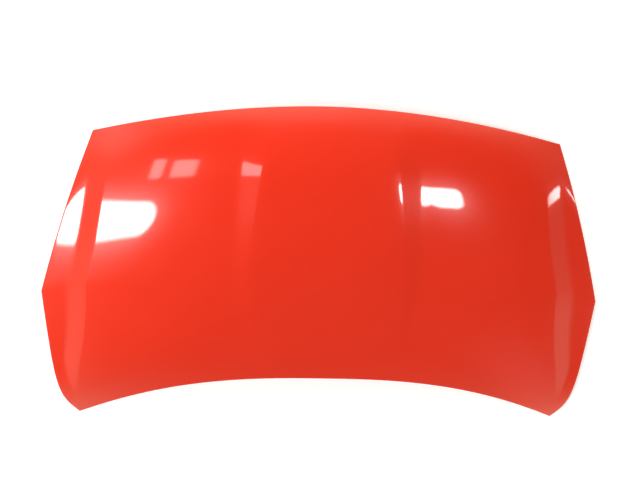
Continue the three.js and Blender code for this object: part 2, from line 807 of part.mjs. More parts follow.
function nutGeometry() {
	const hexagon = new THREE.Shape(circlePoints(0, 0, nutAcrossFlats / Math.sqrt(3), 6));
	hexagon.holes.push(new THREE.Path(circlePoints(0, 0, threadRadius + seatGap)));
	return new THREE.ExtrudeGeometry(hexagon, { depth: nutHeight, bevelEnabled: false });
}

// Hexagon flange bolt, its head below z = 0 and its shank above
function boltGeometry(shankLength) {
	const sheet = new Sheet();
	const hexagon = Array.from({ length: 12 }, (_, i) => {
		const reach = nutAcrossFlats / (i % 2 ? 2 : Math.sqrt(3));
		return corner(reach * Math.cos(i * Math.PI / 6), reach * Math.sin(i * Math.PI / 6));
	});
	const levels = [
		[hexagon, -boltHeadHeight],
		[hexagon, -boltFlangeHeight],
		[circlePoints(0, 0, boltFlangeRadius), -boltFlangeHeight / 2],
		[circlePoints(0, 0, boltFlangeRadius), 0],
		[circlePoints(0, 0, threadRadius), 0],
		[circlePoints(0, 0, threadRadius), shankLength],
	];
	const rings = levels.map(([plan, z]) => {
		return sheet.ring(plan.map(({ x, y }) => new THREE.Vector3(x, y, z)));
	});
	rings.slice(1).forEach((ring, i) => sheet.band(rings[i], ring));
	sheet.cap(rings[0], true);
	sheet.cap(rings[rings.length - 1], false);
	return sheet.closed();
}

// Bent rod whose centre line lies in the plane y = 0
function rodGeometry(line, radius, sides = 10) {
	const sheet = new Sheet();
	const rings = line.map((point, i) => {
		const before = line[Math.max(i - 1, 0)];
		const after = line[Math.min(i + 1, line.length - 1)];
		const along = corner(after.x - before.x, after.y - before.y).normalize();
		return sheet.ring(circlePoints(0, 0, radius, sides).map(({ x, y }) => {
			return new THREE.Vector3(point.x + along.y * x, y, point.y - along.x * x);
		}));
	});
	rings.slice(1).forEach((ring, i) => sheet.band(rings[i], ring));
	sheet.cap(rings[0], true);
	sheet.cap(rings[rings.length - 1], false);
	return sheet.closed();
}

function turned(profile, sides = 16) {
	const points = profile.map(([radius, z]) => corner(radius, z));
	return new THREE.LatheGeometry(points, sides).rotateX(Math.PI / 2);
}

// Rubber buffer pushed into its hole: body below the floor, bead above it
function bufferGeometry(radius, height) {
	const neck = bufferHoleRadius - seatGap;
	const top = frameThickness + seatGap;
	return turned([
		[0, -height],
		[bufferNose * radius, -height],
		[bufferToe * radius, -bufferToeHeight * height],
		[radius, -bufferWaist * height],
		[radius, -seatGap],
		[neck, -seatGap],
		[neck, top],
		[neck + bufferBead, top],
		[neck - bufferBead, top + 2 * bufferBead],
		[0, top + 2 * bufferBead],
	]);
}

function grommetGeometry() {
	const neck = propHoleRadius - seatGap;
	const lip = propHoleRadius + grommetLip;
	const top = frameThickness + seatGap;
	const bottom = -seatGap - grommetLipHeight;
	return turned([
		[grommetBore, bottom],
		[lip - grommetLipRounding, bottom],
		[lip, bottom + grommetLipRounding],
		[lip, -seatGap],
		[neck, -seatGap],
		[neck, top],
		[neck + grommetBarb, top],
		[neck, top + grommetLipHeight],
		[grommetBore, top + grommetLipHeight],
		[grommetBore, bottom],
	]);
}

// Dab of mastic that fills the space between a window's land and the skin
const panelRay = new THREE.Raycaster();

function masticGeometry(place, frame, skin) {
	const up = skinNormal(place.x / halfWidth, place.y / centreLength);
	const sheet = new Sheet();
	const plan = [corner(0, 0), ...circlePoints(0, 0, masticRadius, 10)];
	const ends = [[frame, -1], [skin, 1]].map(([panel, side]) => {
		return sheet.ring(plan.map(({ x, y }) => {
			const from = below(place.x + x, place.y + y, skinThickness + landGap / 2);
			panelRay.set(from, up.clone().multiplyScalar(side));
			const [hit] = panelRay.intersectObject(panel);
			return from.addScaledVector(up, side * (hit.distance - seatGap));
		}));
	});
	const [[bottom, ...bottomRing], [top, ...topRing]] = ends;
	sheet.band(topRing, bottomRing);
	sheet.fan(bottom, bottomRing);
	sheet.fan(top, topRing.reverse());
	return sheet.closed();
}

const skin = addPart('outer_skin', makeOuterSkin(), paint);
const frame = addPart('inner_frame', makeInnerFrame(), innerPaint);
addPart('hem_sealant', makeHemSealant(), sealer);

// Reinforcement plate and weld nuts on the upper side of a seat
function reinforce(seat, name, group) {
	const holes = seat.bolts.map(([x, y]) => [x, y, boltHoleRadius]);
	const level = frameThickness + seatGap;
	const length = seat.length - 2 * plateInset;
	const width = seat.width - 2 * plateInset;
	const shell = plate(length, width, reinforcementThickness, holes).translate(0, 0, level);
	addPart(`${name}_reinforcement`, shell, primer, group);
	seat.bolts.forEach(([x, y], i) => {
		const nut = nutGeometry().translate(x, y, level + reinforcementThickness + seatGap);
		addPart(`${name}_nut_${i + 1}`, nut, zinc, group);
	});
}

const strikerGroup = groupAt(strikerSeat.matrix);
reinforce(strikerSeat, 'striker', strikerGroup);
const legX = strikerLoopSpan / 2;
const legHole = strikerRodRadius + seatGap;
const plateHoles = [[-legX, 0, legHole], [legX, 0, legHole]];
for (const [x, y] of strikerBolts) plateHoles.push([x, y, boltHoleRadius]);
const strikerPlate = plate(strikerPlateLength, strikerPlateWidth, strikerPlateThickness, plateHoles);
const plateUnderside = -seatGap - strikerPlateThickness;
addPart('striker_plate', strikerPlate.translate(0, 0, plateUnderside), zinc, strikerGroup);

const loopBottom = plateUnderside - strikerLoopHeight;
const loopLine = [corner(-legX, -seatGap)];
const bendX = legX - strikerLoopBend;
for (const [centreX, from] of [[-bendX, Math.PI], [bendX, 1.5 * Math.PI]]) {
	for (let s = 0; s <= strikerBendSteps; s++) {
		const angle = from + s * Math.PI / 2 / strikerBendSteps;
		loopLine.push(corner(
			centreX + strikerLoopBend * Math.cos(angle),
			loopBottom + strikerLoopBend * (1 + Math.sin(angle))
		));
	}
}
loopLine.push(corner(legX, -seatGap));
addPart('striker_loop', rodGeometry(loopLine, strikerRodRadius), zinc, strikerGroup);

const shankTop = frameThickness + reinforcementThickness + nutHeight + 2 * seatGap;
const shankLength = strikerPlateThickness + 2 * seatGap + shankTop;
strikerBolts.forEach(([x, y], i) => {
	const bolt = boltGeometry(shankLength).translate(x, y, plateUnderside - seatGap);
	addPart(`striker_bolt_${i + 1}`, bolt, zinc, strikerGroup);
});

for (const name of ['left', 'right']) {
	reinforce(hingeSeats[name], `hinge_${name}`, groupAt(hingeSeats[name].matrix));
	const frontBuffer = bufferGeometry(frontBufferRadius, frontBufferHeight);
	addPart(`front_buffer_${name}`, frontBuffer, rubber, groupAt(frontBuffers[name].matrix));
	const sideBuffer = bufferGeometry(sideBufferRadius, sideBufferHeight);
	addPart(`side_buffer_${name}`, sideBuffer, rubber, groupAt(sideBuffers[name].matrix));
}
addPart('prop_rod_grommet', grommetGeometry(), nylon, groupAt(propPads.right.matrix));

// The dabs sit on the middle of the lands, spread evenly round each window
let masticCount = 0;
for (const [, , , middle] of windowLoops) {
	const lengths = middle.map((point, i) => point.distanceTo(middle[(i + 1) % middle.length]));
	const perimeter = lengths.reduce((sum, length) => sum + length);
	const dabs = Math.round(perimeter / masticPitch);
	for (let dab = 0; dab < dabs; dab++) {
		let along = perimeter * (dab + 0.5) / dabs;
		let i = 0;
		while (along > lengths[i]) along -= lengths[i++];
		const place = middle[i].clone().lerp(middle[(i + 1) % middle.length], along / lengths[i]);
		masticCount += 1;
		addPart(`mastic_${masticCount}`, masticGeometry(place, frame, skin), mastic);
	}
}

// The origin is on the floor, under the middle of the bonnet's extent
const extent = new THREE.Box3().setFromObject(bonnet);
bonnet.position.copy(extent.getCenter(new THREE.Vector3())).negate();
bonnet.position.z = -extent.min.z;

export default bonnet;
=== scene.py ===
import math

import bmesh
import bpy
from mathutils import Matrix, Vector


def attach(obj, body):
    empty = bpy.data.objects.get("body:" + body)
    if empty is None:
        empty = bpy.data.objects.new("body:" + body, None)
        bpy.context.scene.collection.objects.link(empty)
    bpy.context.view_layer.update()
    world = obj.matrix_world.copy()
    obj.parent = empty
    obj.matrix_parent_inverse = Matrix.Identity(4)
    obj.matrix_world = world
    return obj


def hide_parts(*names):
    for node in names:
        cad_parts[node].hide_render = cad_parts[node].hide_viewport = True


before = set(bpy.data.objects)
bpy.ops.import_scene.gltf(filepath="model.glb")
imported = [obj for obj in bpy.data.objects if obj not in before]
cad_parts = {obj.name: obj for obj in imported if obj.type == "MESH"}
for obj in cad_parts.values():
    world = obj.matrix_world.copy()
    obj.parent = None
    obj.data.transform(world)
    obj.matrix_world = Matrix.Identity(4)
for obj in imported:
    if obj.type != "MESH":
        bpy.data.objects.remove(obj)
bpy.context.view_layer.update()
print("frame loaded")


def mm(value):
    return value / 1000


# The panel is drawn from a point under the middle of the bonnet, which lies here in the frame
origin = {"back": -68.33, "up": 2.94}

# Camera: a 40 mm lens on a 36 mm wide sensor, leaning a little towards the front edge
camera = {
    "lens": 40,
    "sensor": 36,
    "reach": 30,
    "distance": mm(1790.92),
    "target": Vector((0, mm(90 + origin["back"]), mm(40 + origin["up"]))),
    "sideways": mm(14.56),
    "upwards": mm(-69.41),
    "yaw": math.radians(3.05),
    "pitch": math.radians(18.21),
    "roll": math.radians(-2.29),
}


def addCamera(settings):
    turn = (
        Matrix.Rotation(settings["roll"], 3, "Z")
        @ Matrix.Rotation(settings["pitch"], 3, "X")
        @ Matrix.Rotation(settings["yaw"], 3, "Y")
    ).transposed()
    offset = Vector((-settings["sideways"], -settings["upwards"], settings["distance"]))
    bpy.ops.object.camera_add()
    cam = bpy.context.object
    cam.name = "photoCamera"
    cam.matrix_world = Matrix.Translation(settings["target"] + turn @ offset) @ turn.to_4x4()
    cam.data.lens = settings["lens"]
    cam.data.sensor_width = settings["sensor"]
    cam.data.clip_end = settings["reach"]
    bpy.context.scene.camera = cam


addCamera(camera)
print("camera placed")


# The linear values of an sRGB hex colour
def colour(hexCode):
    channels = []
    for start in (0, 2, 4):
        value = int(hexCode[start : start + 2], 16) / 255
        straight = value <= 0.04045
        channels.append(value / 12.92 if straight else ((value + 0.055) / 1.055) ** 2.4)
    return (*channels, 1)


def addNode(owner, kind, settings=None, values=None, links=None):
    tree = owner.node_tree
    node = tree.nodes.new(kind)
    for name, value in (settings or {}).items():
        setattr(node, name, value)
    for name, value in (values or {}).items():
        node.inputs[name].default_value = value
    for name, source in (links or {}).items():
        tree.links.new(source, node.inputs[name])
    return node


def newMaterial(name):
    material = bpy.data.materials.new(name)
    material.use_nodes = True
    material.node_tree.nodes.clear()
    return material


def finishMaterial(material, shader):
    output = addNode(material, "ShaderNodeOutputMaterial")
    material.node_tree.links.new(shader.outputs[0], output.inputs["Surface"])
    return material


# Solid red acrylic car paint, sprayed and baked under clear coat. It gives the eye one deep
# colour, lamp images with sharp edges and a weak haze round them, and the faint ripple of
# orange peel that only a lamp's edge shows.
redPaint = {
    "deep": "d62e1a",
    "light": "dc321d",
    "cloudMm": 220,
    "peelMm": 7,
    "peelDepth": 0.012,
    "waveMm": 45,
    "waveDepth": 0.05,
    "roughness": 0.22,
    "shine": 0.25,
    "coatRoughness": 0.03,
}


def sprayedRedPaint(sizes):
    material = newMaterial("sprayedRedClearCoat")
    place = addNode(material, "ShaderNodeTexCoord")
    cloud = addNode(
        material,
        "ShaderNodeTexNoise",
        values={"Scale": 1 / mm(sizes["cloudMm"]), "Detail": 2.0},
        links={"Vector": place.outputs["Object"]},
    )
    tint = addNode(
        material,
        "ShaderNodeMix",
        {"data_type": "RGBA"},
        {6: colour(sizes["deep"]), 7: colour(sizes["light"])},
        {0: cloud.outputs["Fac"]},
    )
    wave = addNode(
        material,
        "ShaderNodeTexNoise",
        values={"Scale": 1 / mm(sizes["waveMm"]), "Detail": 0.0},
        links={"Vector": place.outputs["Object"]},
    )
    peel = addNode(
        material,
        "ShaderNodeTexNoise",
        values={"Scale": 1 / mm(sizes["peelMm"]), "Detail": 1.0},
        links={"Vector": place.outputs["Object"]},
    )
    ripple = addNode(
        material,
        "ShaderNodeBump",
        values={"Strength": 1.0, "Distance": mm(sizes["waveDepth"])},
        links={"Height": wave.outputs["Fac"]},
    )
    coat = addNode(
        material,
        "ShaderNodeBump",
        values={"Strength": 1.0, "Distance": mm(sizes["peelDepth"])},
        links={"Height": peel.outputs["Fac"], "Normal": ripple.outputs["Normal"]},
    )
    shader = addNode(
        material,
        "ShaderNodeBsdfPrincipled",
        values={
            "Roughness": sizes["roughness"],
            "IOR": 1.5,
            "Specular IOR Level": sizes["shine"],
            "Coat Weight": 1.0,
            "Coat Roughness": sizes["coatRoughness"],
            "Coat IOR": 1.5,
        },
        links={"Base Color": tint.outputs[2], "Coat Normal": coat.outputs["Normal"]},
    )
    return finishMaterial(material, shader)


# Thin colour coat sprayed over grey electrocoat inside the bonnet. It is duller and darker than
# the outside, with dry overspray that makes it patchy, and has no clear coat.
innerPaint = {
    "thin": "a91c10",
    "full": "bb2211",
    "patchMm": 140,
    "patchRange": (0.35, 0.65),
    "grainMm": 1.2,
    "grainDepth": 0.02,
    "gloss": (0.34, 0.5),
}


def thinInnerPaint(sizes):
    material = newMaterial("thinRedInnerPaint")
    place = addNode(material, "ShaderNodeTexCoord")
    patch = addNode(
        material,
        "ShaderNodeTexNoise",
        values={"Scale": 1 / mm(sizes["patchMm"]), "Detail": 4.0, "Roughness": 0.6},
        links={"Vector": place.outputs["Object"]},
    )
    least, most = sizes["patchRange"]
    share = addNode(
        material,
        "ShaderNodeMapRange",
        values={"From Min": least, "From Max": most},
        links={"Value": patch.outputs["Fac"]},
    )
    tint = addNode(
        material,
        "ShaderNodeMix",
        {"data_type": "RGBA"},
        {6: colour(sizes["thin"]), 7: colour(sizes["full"])},
        {0: share.outputs["Result"]},
    )
    low, high = sizes["gloss"]
    rough = addNode(
        material,
        "ShaderNodeMapRange",
        values={"To Min": high, "To Max": low},
        links={"Value": share.outputs["Result"]},
    )
    grain = addNode(
        material,
        "ShaderNodeTexNoise",
        values={"Scale": 1 / mm(sizes["grainMm"]), "Detail": 2.0},
        links={"Vector": place.outputs["Object"]},
    )
    bump = addNode(
        material,
        "ShaderNodeBump",
        values={"Strength": 1.0, "Distance": mm(sizes["grainDepth"])},
        links={"Height": grain.outputs["Fac"]},
    )
    shader = addNode(
        material,
        "ShaderNodeBsdfPrincipled",
        values={"IOR": 1.5},
        links={
            "Base Color": tint.outputs[2],
            "Roughness": rough.outputs["Result"],
            "Normal": bump.outputs["Normal"],
        },
    )
    return finishMaterial(material, shader)


# PVC seam sealer, laid as a bead with a nozzle and painted over. Its skin is soft and lumpy.
sealerPaint = {"low": "9c180d", "high": "b82213", "lumpMm": 9, "lumpDepth": 0.5, "roughness": 0.5}


def paintedSealer(sizes):
    material = newMaterial("paintedSeamSealer")
    place = addNode(material, "ShaderNodeTexCoord")
    lumps = addNode(
        material,
        "ShaderNodeTexNoise",
        values={"Scale": 1 / mm(sizes["lumpMm"]), "Detail": 3.0},
        links={"Vector": place.outputs["Object"]},
    )
    tint = addNode(
        material,
        "ShaderNodeMix",
        {"data_type": "RGBA"},
        {6: colour(sizes["low"]), 7: colour(sizes["high"])},
        {0: lumps.outputs["Fac"]},
    )
    bump = addNode(
        material,
        "ShaderNodeBump",
        values={"Strength": 1.0, "Distance": mm(sizes["lumpDepth"])},
        links={"Height": lumps.outputs["Fac"]},
    )
    shader = addNode(
        material,
        "ShaderNodeBsdfPrincipled",
        values={"Roughness": sizes["roughness"], "IOR": 1.5},
        links={"Base Color": tint.outputs[2], "Normal": bump.outputs["Normal"]},
    )
    return finishMaterial(material, shader)


# Grey cathodic electrocoat on pressed steel, the dip primer that stays bare where no paint
# reaches. Satin, with an even fine grain.
electrocoat = {
    "low": "4f5455",
    "high": "656a6b",
    "patchMm": 30,
    "grainMm": 0.9,
    "grainDepth": 0.02,
    "grainShare": 0.5,
    "roughness": 0.5,
}


def greyElectrocoat(sizes):
    material = newMaterial("greyElectrocoat")
    place = addNode(material, "ShaderNodeTexCoord")
    patch = addNode(
        material,
        "ShaderNodeTexNoise",
        values={"Scale": 1 / mm(sizes["patchMm"]), "Detail": 5.0, "Roughness": 0.6},
        links={"Vector": place.outputs["Object"]},
    )
    tint = addNode(
        material,
        "ShaderNodeMix",
        {"data_type": "RGBA"},
        {6: colour(sizes["low"]), 7: colour(sizes["high"])},
        {0: patch.outputs["Fac"]},
    )
    grain = addNode(
        material,
        "ShaderNodeTexNoise",
        values={"Scale": 1 / mm(sizes["grainMm"]), "Detail": 1.0},
        links={"Vector": place.outputs["Object"]},
    )
    bump = addNode(
        material,
        "ShaderNodeBump",
        values={"Strength": sizes["grainShare"], "Distance": mm(sizes["grainDepth"])},
        links={"Height": grain.outputs["Fac"]},
    )
    shader = addNode(
        material,
        "ShaderNodeBsdfPrincipled",
        values={"Roughness": sizes["roughness"], "IOR": 1.5},
        links={"Base Color": tint.outputs[2], "Normal": bump.outputs["Normal"]},
    )
    return finishMaterial(material, shader)


# Zinc electroplate on steel with a clear blue-white passivate. Bright and a little milky, with
# cloudy tones from the barrel that it was plated in.
zincPlate = {
    "low": "8f9091",
    "high": "c8c8c2",
    "cloudMm": 7,
    "cloudRange": (0.3, 0.7),
    "cloudDepth": 0.04,
    "cloudShare": 0.4,
    "gloss": (0.24, 0.46),
}


def barrelZinc(sizes):
    material = newMaterial("passivatedZincPlate")
    place = addNode(material, "ShaderNodeTexCoord")
    cloud = addNode(
        material,
        "ShaderNodeTexNoise",
        values={"Scale": 1 / mm(sizes["cloudMm"]), "Detail": 5.0, "Roughness": 0.65},
        links={"Vector": place.outputs["Object"]},
    )
    least, most = sizes["cloudRange"]
    share = addNode(
        material,
        "ShaderNodeMapRange",
        values={"From Min": least, "From Max": most},
        links={"Value": cloud.outputs["Fac"]},
    )
    tint = addNode(
        material,
        "ShaderNodeMix",
        {"data_type": "RGBA"},
        {6: colour(sizes["low"]), 7: colour(sizes["high"])},
        {0: share.outputs["Result"]},
    )
    low, high = sizes["gloss"]
    rough = addNode(
        material,
        "ShaderNodeMapRange",
        values={"To Min": high, "To Max": low},
        links={"Value": share.outputs["Result"]},
    )
    bump = addNode(
        material,
        "ShaderNodeBump",
        values={"Strength": sizes["cloudShare"], "Distance": mm(sizes["cloudDepth"])},
        links={"Height": cloud.outputs["Fac"]},
    )
    shader = addNode(
        material,
        "ShaderNodeBsdfPrincipled",
        values={"Metallic": 1.0},
        links={
            "Base Color": tint.outputs[2],
            "Roughness": rough.outputs["Result"],
            "Normal": bump.outputs["Normal"],
        },
    )
    return finishMaterial(material, shader)


# EPDM rubber from a spark-eroded mould. Matt near-black with a fine even grain and a grey bloom.
rubber = {
    "low": "111213",
    "bloom": "232425",
    "bloomMm": 11,
    "grainMm": 0.8,
    "grainDepth": 0.04,
    "grainShare": 0.7,
    "roughness": 0.68,
    "shine": 0.4,
}


def mouldedRubber(sizes):
    material = newMaterial("mouldedRubber")
    place = addNode(material, "ShaderNodeTexCoord")
    bloom = addNode(
        material,
        "ShaderNodeTexNoise",
        values={"Scale": 1 / mm(sizes["bloomMm"]), "Detail": 4.0},
        links={"Vector": place.outputs["Object"]},
    )
    tint = addNode(
        material,
        "ShaderNodeMix",
        {"data_type": "RGBA"},
        {6: colour(sizes["low"]), 7: colour(sizes["bloom"])},
        {0: bloom.outputs["Fac"]},
    )
    grain = addNode(
        material,
        "ShaderNodeTexNoise",
        values={"Scale": 1 / mm(sizes["grainMm"]), "Detail": 2.0},
        links={"Vector": place.outputs["Object"]},
    )
    bump = addNode(
        material,
        "ShaderNodeBump",
        values={"Strength": sizes["grainShare"], "Distance": mm(sizes["grainDepth"])},
        links={"Height": grain.outputs["Fac"]},
    )
    shader = addNode(
        material,
        "ShaderNodeBsdfPrincipled",
        values={
            "Roughness": sizes["roughness"],
            "IOR": 1.5,
            "Specular IOR Level": sizes["shine"],
        },
        links={"Base Color": tint.outputs[2], "Normal": bump.outputs["Normal"]},
    )
    return finishMaterial(material, shader)


# Injection moulded nylon 6. Black and half glossy, with the faint flow marks of the mould.
nylon = {"low": "161719", "high": "222427", "flowMm": 5, "gloss": (0.36, 0.5)}


def mouldedNylon(sizes):
    material = newMaterial("mouldedNylon")
    place = addNode(material, "ShaderNodeTexCoord")
    flow = addNode(
        material,
        "ShaderNodeTexNoise",
        values={"Scale": 1 / mm(sizes["flowMm"]), "Detail": 2.0, "Distortion": 0.6},
        links={"Vector": place.outputs["Object"]},
    )
    tint = addNode(
        material,
        "ShaderNodeMix",
        {"data_type": "RGBA"},
        {6: colour(sizes["low"]), 7: colour(sizes["high"])},
        {0: flow.outputs["Fac"]},
    )
    low, high = sizes["gloss"]
    rough = addNode(
        material,
        "ShaderNodeMapRange",
        values={"To Min": low, "To Max": high},
        links={"Value": flow.outputs["Fac"]},
    )
    shader = addNode(
        material,
        "ShaderNodeBsdfPrincipled",
        values={"IOR": 1.53},
        links={"Base Color": tint.outputs[2], "Roughness": rough.outputs["Result"]},
    )
    return finishMaterial(material, shader)


# Expanding rubber mastic, pumped on as dabs and baked. Grey, dull and full of small pores, with
# painted shade that darkens the grey in the pits of the pores.
mastic = {
    "low": "6f6b5f",
    "high": "989384",
    "poreMm": 1.6,
    "poreDepth": 0.35,
    "poreShare": 0.8,
    "roughness": 0.85,
    "shine": 0.3,
}


def bakedMastic(sizes):
    material = newMaterial("bakedAntiFlutterMastic")
    place = addNode(material, "ShaderNodeTexCoord")
    pores = addNode(
        material,
        "ShaderNodeTexVoronoi",
        values={"Scale": 1 / mm(sizes["poreMm"])},
        links={"Vector": place.outputs["Object"]},
    )
    # Painted shade: the grey runs from "low" in the pits of the pores to "high" on their rims,
    # following the same pattern as the bump
    tint = addNode(
        material,
        "ShaderNodeMix",
        {"data_type": "RGBA"},
        {6: colour(sizes["low"]), 7: colour(sizes["high"])},
        {0: pores.outputs["Distance"]},
    )
    bump = addNode(
        material,
        "ShaderNodeBump",
        values={"Strength": sizes["poreShare"], "Distance": mm(sizes["poreDepth"])},
        links={"Height": pores.outputs["Distance"]},
    )
    shader = addNode(
        material,
        "ShaderNodeBsdfPrincipled",
        values={
            "Roughness": sizes["roughness"],
            "IOR": 1.5,
            "Specular IOR Level": sizes["shine"],
        },
        links={"Base Color": tint.outputs[2], "Normal": bump.outputs["Normal"]},
    )
    return finishMaterial(material, shader)


finishes = {
    "outerPaint": sprayedRedPaint(redPaint),
    "innerPaint": thinInnerPaint(innerPaint),
    "sealer": paintedSealer(sealerPaint),
    "primer": greyElectrocoat(electrocoat),
    "zinc": barrelZinc(zincPlate),
    "rubber": mouldedRubber(rubber),
    "nylon": mouldedNylon(nylon),
    "mastic": bakedMastic(mastic),
}
print("materials made")


def deselectAll():
    bpy.ops.object.select_all(action="DESELECT")


# A copy of a node's solid, with the vertices that its facets share joined
def copyOfNode(node, name, weld=0.004):
    deselectAll()
    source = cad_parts[node]
    piece = source.copy()
    piece.data = source.data.copy()
    piece.name = name
    piece.data.name = name
    bpy.context.scene.collection.objects.link(piece)
    bpy.context.view_layer.objects.active = piece
    piece.select_set(True)
    bpy.ops.object.mode_set(mode="EDIT")
    bpy.ops.mesh.select_all(action="SELECT")
    bpy.ops.mesh.remove_doubles(threshold=mm(weld))
    bpy.ops.object.mode_set(mode="OBJECT")
    return piece


def applyModifier(piece, kind, **settings):
    modifier = piece.modifiers.new(kind.lower(), kind)
    for name, value in settings.items():
        setattr(modifier, name, value)
    bpy.ops.object.modifier_apply(modifier=modifier.name)


def setMaterial(piece, material):
    piece.data.materials.clear()
    piece.data.materials.append(material)


# Outer skin: the pressed panel, in millimetres, degrees and shares. "across" runs from -1 to 1
# from side to side, and "back" from 0 at the front edge to 1 at the rear edge.
skinShape = {
    "halfWidth": 720,
    "frontCorner": (568.5, 412),
    "rearCorner": (651, -356),
    "frontCentre": 493,
    "rearCentre": -211,
    "frontBow": 1.9,
    "rearBow": 2.48,
    "sideBow": 5.3,
    "rearTurn": (706, -297),
    "turnTightness": 0.95,
    "widest": 0.55,
    "frontCrown": 50,
    "rearCrown": 64,
    "noseDrop": 30,
    "noseLength": 49,
    "arch": 35,
    "sideLift": 12,
    "sideFall": 0.25,
    "bulgeFront": 180,
    "bulgeRear": 209,
    "bulgeRise": (0.02, 0.2),
    "bulgeFall": (0.5, 0.95),
    "crestWidth": 24,
    "crestSlope": 0.09,
    "flankFront": 74,
    "flankRear": 10,
    "flankSlope": 0.13,
    "flankHollow": 0.15,
    "flankRounding": 0.24,
    "shoulderDrop": 8,
    "shoulderFront": 97,
    "shoulderMiddle": 124,
    "shoulderRear": 44,
    "shoulderInset": (0.08, 0.45),
    "shoulderOutset": (0.52, 0.9),
    "facetWidth": 56,
    "leastFootInset": 30,
    "shoulderRise": (0.07, 0.35),
    "shoulderFall": (0.6, 0.9),
    "valleyRounding": 0.5,
    "hem": 12,
    "hemStack": 3.1,
    "hemTurns": (30, 60, 90, 120, 150, 180),
    "thickness": 0.8,
    "smooth": 50,
    "weld": 0.01,
}
length = skinShape["frontCentre"] - skinShape["rearCentre"]


def between(low, high, share):
    return low + (high - low) * share


def clip(value, low=0.0, high=1.0):
    return max(low, min(high, value))


def fade(value, start, end):
    t = clip((value - start) / (end - start))
    return t * t * (3 - 2 * t)


def sideEdge(back, s=skinShape):
    front = Vector(s["frontCorner"])
    widest = Vector((s["halfWidth"], 0))
    rear = Vector(s["rearCorner"])
    turn = Vector(s["rearTurn"])
    if back < s["widest"]:
        t = back / s["widest"]
        chord = widest - front
        bow = Vector((-chord.y, chord.x)).normalized() * 2 * s["sideBow"]
        middle = (front + widest) / 2 + bow
        return (1 - t) ** 2 * front + 2 * t * (1 - t) * middle + t * t * widest
    t = (back - s["widest"]) / (1 - s["widest"])
    leave = widest.lerp(turn, s["turnTightness"])
    arrive = rear.lerp(turn, s["turnTightness"])
    return (
        (1 - t) ** 3 * widest
        + 3 * t * (1 - t) ** 2 * leave
        + 3 * t * t * (1 - t) * arrive
        + t**3 * rear
    )


def bulgeLine(back, s=skinShape):
    return between(s["bulgeFront"], s["bulgeRear"], back)


def flankWidth(back, s=skinShape):
    return between(s["flankFront"], s["flankRear"], back)


def shoulderInset(back, s=skinShape):
    front = between(s["shoulderFront"], s["shoulderMiddle"], fade(back, *s["shoulderInset"]))
    return between(front, s["shoulderRear"], fade(back, *s["shoulderOutset"]))


def shoulderLine(back, s=skinShape):
    return s["halfWidth"] - shoulderInset(back)


def footLine(back, s=skinShape):
    return s["halfWidth"] - max(shoulderInset(back) - s["facetWidth"], s["leastFootInset"])


# Lesser of two values, with the corner between them rounded
def roundedMin(a, b, rounding):
    blend = clip(1 - abs(a - b) / rounding)
    return min(a, b) - blend * blend * rounding / 4


def pressedRelief(outward, back, s=skinShape):
    beyond = outward - bulgeLine(back)
    crest = clip(1 + beyond / s["crestWidth"])
    flank = roundedMin(max(beyond / flankWidth(back), 0), 1, s["flankRounding"])
    crestHeight = s["crestSlope"] * s["crestWidth"] / 2 * (1 - crest**2)
    flankFall = (1 + s["flankHollow"]) * flank - s["flankHollow"] * flank**2
    flankHeight = s["flankSlope"] * flankWidth(back) * (1 - flankFall)
    bulge = fade(back, *s["bulgeRise"]) * (1 - fade(back, *s["bulgeFall"]))
    crease = shoulderLine(back)
    foot = footLine(back)
    down = clip((outward - crease) / (foot - crease))
    up = clip((s["halfWidth"] - outward) / (s["halfWidth"] - foot))
    shoulder = s["shoulderDrop"] * fade(back, *s["shoulderRise"])
    shoulder *= 1 - fade(back, *s["shoulderFall"])
    hollow = roundedMin(down, up, s["valleyRounding"])
    return bulge * (crestHeight + flankHeight) - shoulder * hollow


def skinPoint(across, back, pressed=True, s=skinShape):
    outward = abs(across)
    side = sideEdge(back)
    centre = between(s["frontCentre"], s["rearCentre"], back)
    bow = between(s["frontBow"], s["rearBow"], back)
    y = centre + (side.y - centre) * outward**bow
    nose = s["noseDrop"] * (1 - math.exp(-back * length / s["noseLength"]))
    slope = (s["rearCrown"] - s["frontCrown"] - s["noseDrop"]) * back
    spine = s["frontCrown"] + nose + slope + 4 * s["arch"] * back * (1 - back)
    rim = s["sideLift"] * (1 - abs(2 * back - 1) ** 3)
    crown = (1 - s["sideFall"]) * outward**2 + s["sideFall"] * outward**6
    z = rim + (spine - rim) * (1 - crown)
    if pressed:
        z += pressedRelief(outward * s["halfWidth"], back)
    return Vector((mm(across * side.x), mm(y + origin["back"]), mm(z + origin["up"])))


# The direction away from the panel as it was before the creases were pressed
def skinNormal(across, back, step=0.002):
    right = skinPoint(min(across + step, 1), back, False)
    left = skinPoint(max(across - step, -1), back, False)
    ahead = skinPoint(across, max(back - step, 0), False)
    behind = skinPoint(across, min(back + step, 1), False)
    return (right - left).cross(ahead - behind).normalized()


# Marks with more between them, a step apart at most. Less than "slack" of a step adds no line.
def spread(marks, step, slack=0.01):
    line = [marks[0]]
    for start, end in zip(marks, marks[1:]):
        count = max(1, math.ceil((end - start) / step - slack))
        line += [between(start, end, i / count) for i in range(1, count + 1)]
    return line


# Lines of the panel's mesh, in millimetres and shares. They run close together along the edges
# and on both sides of each crease.
skinMesh = {
    "step": 15,
    "slack": 0.3,
    "soft": (3, 8),
    "rims": (0, 3, 7, 12, 24),
    "centreMark": 70,
    "flankShares": (0.25, 0.5, 0.75, 0.9, 1, 1.15),
    "fieldLines": 22,
    "facetShares": (0.4, 0.8, 1),
    "noseMarks": (60, 110),
}


